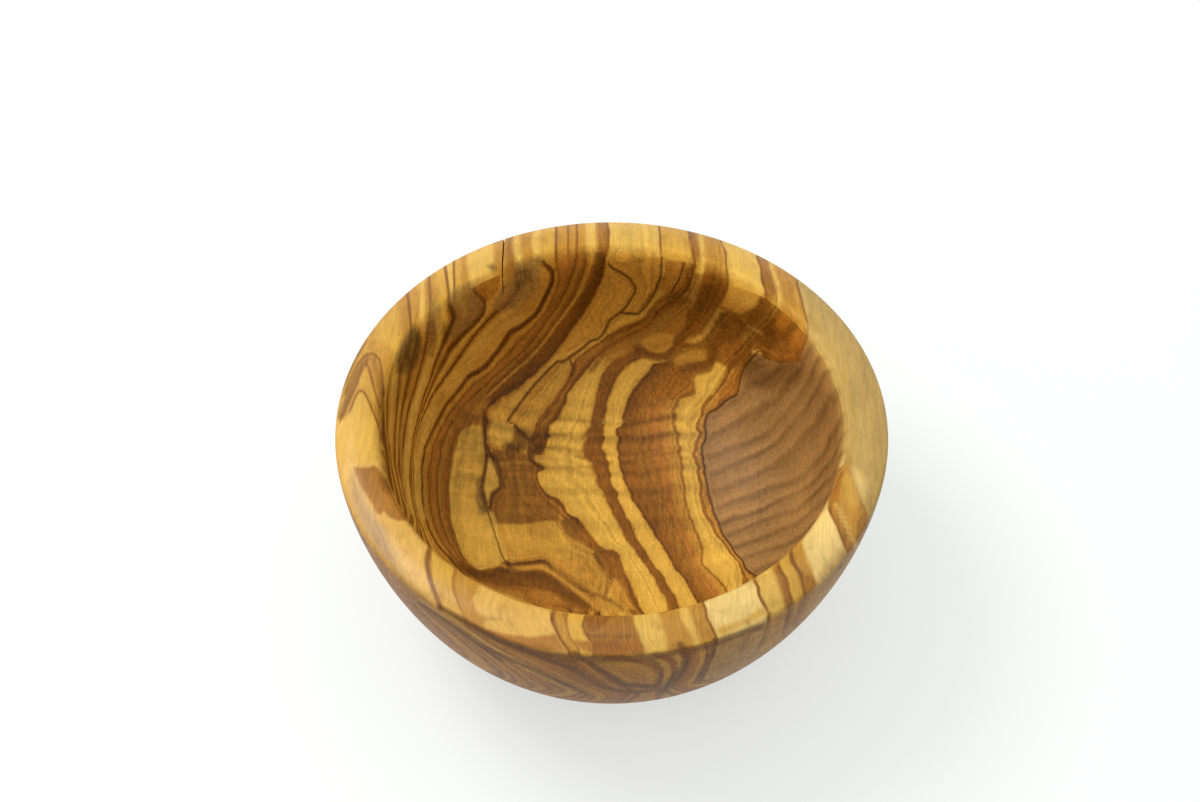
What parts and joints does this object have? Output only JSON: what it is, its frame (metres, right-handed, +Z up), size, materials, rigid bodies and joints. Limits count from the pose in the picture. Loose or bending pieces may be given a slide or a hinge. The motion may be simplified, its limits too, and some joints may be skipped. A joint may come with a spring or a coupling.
{
  "type": "wooden bowl",
  "caption": "Round deep bowl turned from one block of figured wood, with a thick rim that rolls over into the inside, a bevelled outer edge and a flat base, for serving or holding small things.",
  "frame": {"origin": "middle of the flat base, on the surface that the bowl stands on", "axes": "+Z up along the turning axis, towards the open mouth; +Y away from the viewer of the picture"},
  "size_m": [0.13, 0.13, 0.056],
  "materials": {
    "figured_wood": "oiled satin, strongly figured grain"
  },
  "bodies": {
    "root": {"bowl": "figured_wood"}
  },
  "joints": []
}
